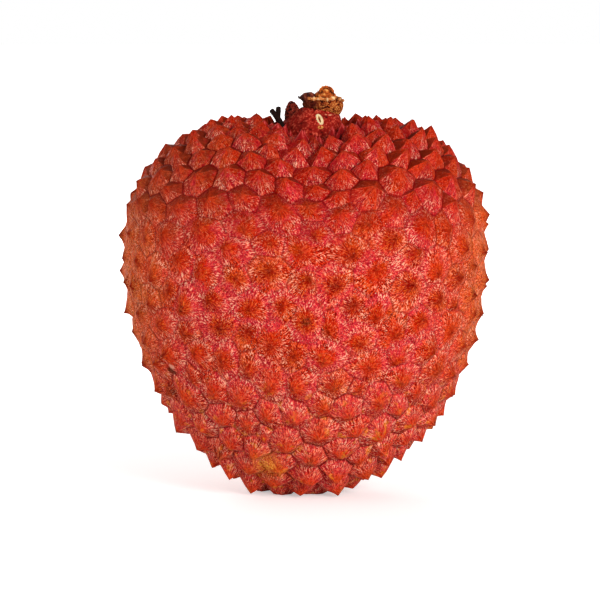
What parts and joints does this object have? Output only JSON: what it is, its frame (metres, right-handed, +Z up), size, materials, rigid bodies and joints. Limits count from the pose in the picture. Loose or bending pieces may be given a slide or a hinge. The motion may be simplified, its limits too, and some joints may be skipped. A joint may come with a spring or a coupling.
{
  "type": "lychee",
  "caption": "Heart-shaped ripe lychee with a red tubercled skin and the stub of its stalk, resting on a small flat spot at its pointed end.",
  "frame": {"origin": "middle of the small flat spot that the fruit rests on", "axes": "+Z up from the pointed end to the stalk, +X to the right and +Y to the back when the fruit is seen from its broad front"},
  "size_m": [0.0371, 0.0337, 0.0408],
  "materials": {
    "skin": "leathery, semi-matt, red to orange-red with tubercles",
    "stalk": "matt, corky, dark red to golden brown",
    "carpel": "matt, brown-red",
    "style": "dry, black-brown"
  },
  "bodies": {
    "root": {"fruit": "skin", "stalk": "stalk", "undeveloped_carpel": "carpel", "dried_style": "style"}
  },
  "joints": []
}
